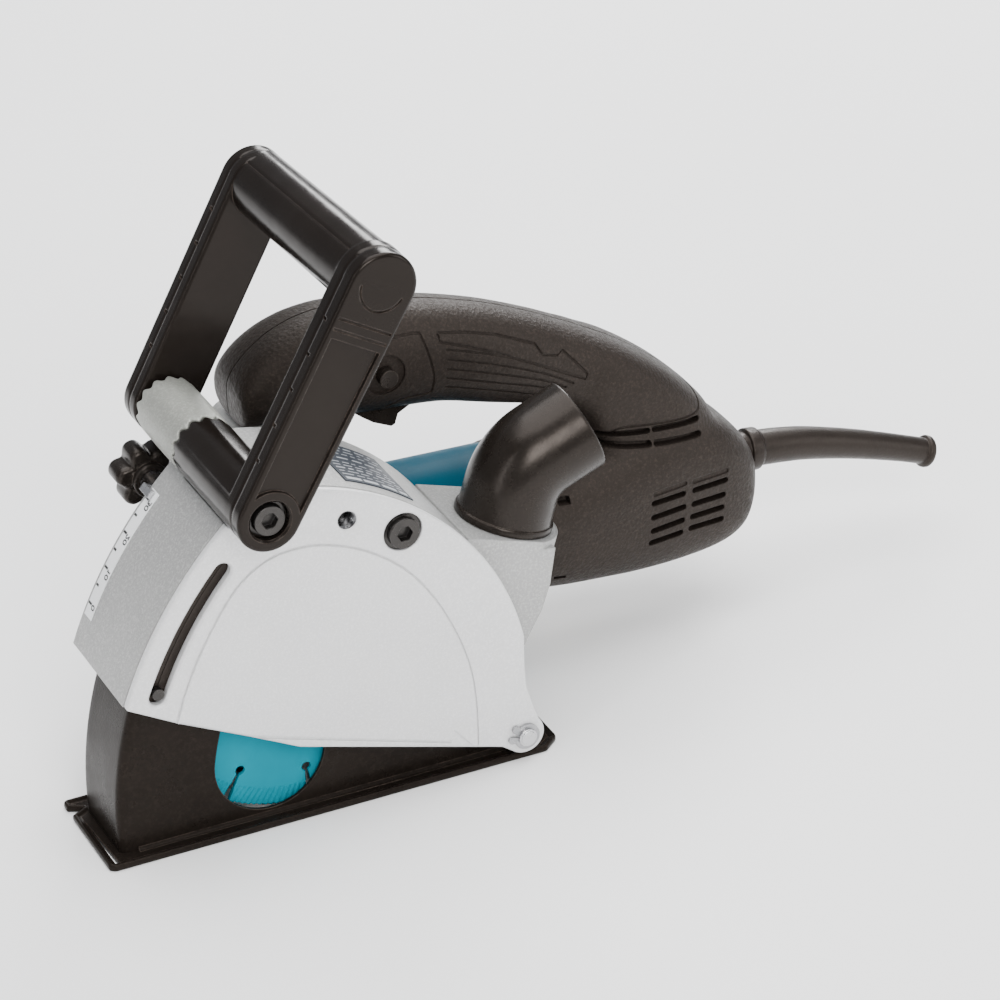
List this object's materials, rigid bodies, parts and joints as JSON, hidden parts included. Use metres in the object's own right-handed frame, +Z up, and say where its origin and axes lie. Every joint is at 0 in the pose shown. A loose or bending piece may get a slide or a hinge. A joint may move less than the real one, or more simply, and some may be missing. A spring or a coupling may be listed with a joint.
{
  "type": "wall chaser",
  "caption": "Handheld wall chaser with parallel diamond blades, pivoting foot, folding front grip, rear D-handle and swivelling dust outlet.",
  "frame": {"origin": "centre of the bounding box in plan, on the underside of the foot plate", "axes": "+X from the front of the foot towards the rear handle and cord guard, +Y from the blade cover side towards the motor side, +Z up, away from the wall being cut"},
  "size_m": [0.437, 0.1508, 0.2598],
  "materials": {
    "cast_silver": "fine sand-cast, lightly textured",
    "cast_gear": "sand-cast",
    "holder_cast": "cast, greenish grey",
    "black_gloss": "glossy black",
    "black_satin": "semi-gloss black",
    "foot_black": "satin black paint",
    "handle_grey": "matte, fine leather grain",
    "teal_plastic": "satin teal",
    "blade_teal": "satin teal paint",
    "steel": "turned",
    "steel_dark": "blackened",
    "spring_steel": "drawn wire",
    "scale_white": "printed white",
    "plate_grey": "brushed",
    "rubber": "matte rubber",
    "laminations": "stacked steel sheet",
    "copper": "enamelled copper",
    "brass": "brass",
    "graphite": "graphite",
    "switch_black": "matte",
    "fan_white": "moulded",
    "board_grey": "potting compound",
    "cap_yellow": "wrapped film"
  },
  "bodies": {
    "tool": {"blade_case": "cast_silver", "side_cover": "cast_silver", "cover_bolt": "steel_dark", "grip_holder": "holder_cast", "name_plate": "plate_grey", "depth_scale": "scale_white", "hinge_pin": "steel", "hinge_circlips": "spring_steel", "return_spring": "spring_steel", "gear_housing": "cast_gear", "bearing_box": "cast_gear", "spindle_bearing": "steel", "needle_bearing": "steel", "gear_screws": "steel_dark", "housing_screws": "steel_dark", "motor_housing": "teal_plastic", "baffle_plate": "switch_black", "stator_core": "laminations", "stator_coils": "copper", "motor_bearing_front": "steel", "motor_bearing_rear": "steel", "brush_holders": "brass", "carbon_brushes": "graphite", "brush_springs": "spring_steel", "handle_left": "handle_grey", "handle_right": "handle_grey", "handle_screws": "steel_dark", "switch_body": "switch_black", "trigger_spring": "spring_steel", "controller": "board_grey", "capacitor": "cap_yellow", "cord_guard": "rubber", "cord_clamp": "steel_dark", "shaft_lock_spring": "spring_steel"},
    "base": {"base_shoe": "foot_black", "guide_pin": "steel"},
    "spindle": {"spindle": "steel", "ring_gear": "steel_dark", "inner_flange": "steel_dark", "spacer_rings": "steel", "near_blade": "blade_teal", "far_blade": "blade_teal", "lock_nut": "steel_dark"},
    "armature": {"armature_shaft": "steel", "armature_core": "laminations", "armature_coils": "copper", "commutator": "copper", "cooling_fan": "fan_white", "pinion": "steel_dark"},
    "depth_stop": {"depth_bolt": "steel"},
    "depth_knob": {"depth_knob": "black_satin"},
    "front_grip": {"front_grip": "black_gloss", "grip_bolts": "steel_dark"},
    "trigger": {"trigger": "black_satin"},
    "lock_button": {"lock_button": "black_satin"},
    "shaft_lock": {"shaft_lock": "black_satin"},
    "dust_nozzle": {"dust_nozzle": "black_satin"}
  },
  "joints": [
    {"name": "base_swing", "type": "hinge", "parent": "tool", "child": "base", "pos_m": [-0.03326, -0.0244, 0.0125], "axis": [0, 1, 0], "range_deg": [0, 17.8], "stiffness_Nm_per_rad": 10, "springref_deg": -34.38, "deforming": ["return_spring"]},
    {"name": "spindle_spin", "type": "hinge", "parent": "tool", "child": "spindle", "pos_m": [-0.13126, 0.0396, 0.0654], "axis": [0, 1, 0], "continuous": true},
    {"name": "armature_spin", "type": "hinge", "parent": "tool", "child": "armature", "pos_m": [-0.13126, 0.0396, 0.0654], "axis": [0.9994, 0, -0.0349], "continuous": true},
    {"name": "stop_travel", "type": "hinge", "parent": "tool", "child": "depth_stop", "pos_m": [-0.03326, -0.0244, 0.0125], "axis": [0, 1, 0], "range_deg": [-17.8, 0]},
    {"name": "knob_turn", "type": "hinge", "parent": "depth_stop", "child": "depth_knob", "pos_m": [-0.16225, 0.0306, 0.12823], "axis": [0, 1, 0], "range_deg": [-180, 0]},
    {"name": "grip_fold", "type": "hinge", "parent": "tool", "child": "front_grip", "pos_m": [-0.15126, -0.0244, 0.157], "axis": [0, 1, 0], "range_deg": [-102.86, 0]},
    {"name": "trigger_pull", "type": "hinge", "parent": "tool", "child": "trigger", "pos_m": [-0.07126, 0.0396, 0.1385], "axis": [0, 1, 0], "range_deg": [-8, 0], "stiffness_Nm_per_rad": 0.8, "springref_deg": 11.46, "deforming": ["trigger_spring"]},
    {"name": "lock_press", "type": "slide", "parent": "tool", "child": "lock_button", "axis": [0, 1, 0], "range_m": [0, 0.003], "stiffness_N_per_m": 800, "springref_m": -0.004},
    {"name": "shaft_lock_press", "type": "slide", "parent": "tool", "child": "shaft_lock", "axis": [1, 0, 0], "range_m": [0, 0.003], "stiffness_N_per_m": 800, "springref_m": -0.004, "deforming": ["shaft_lock_spring"]},
    {"name": "nozzle_swivel", "type": "hinge", "parent": "tool", "child": "dust_nozzle", "pos_m": [-0.02816, -0.0244, 0.1005], "axis": [0.3007, 0, 0.9537], "range_deg": [-100, 0]}
  ],
  "couplings": [
    {"joint": "armature_spin", "follows": "spindle_spin", "ratio": 3.2727}
  ]
}
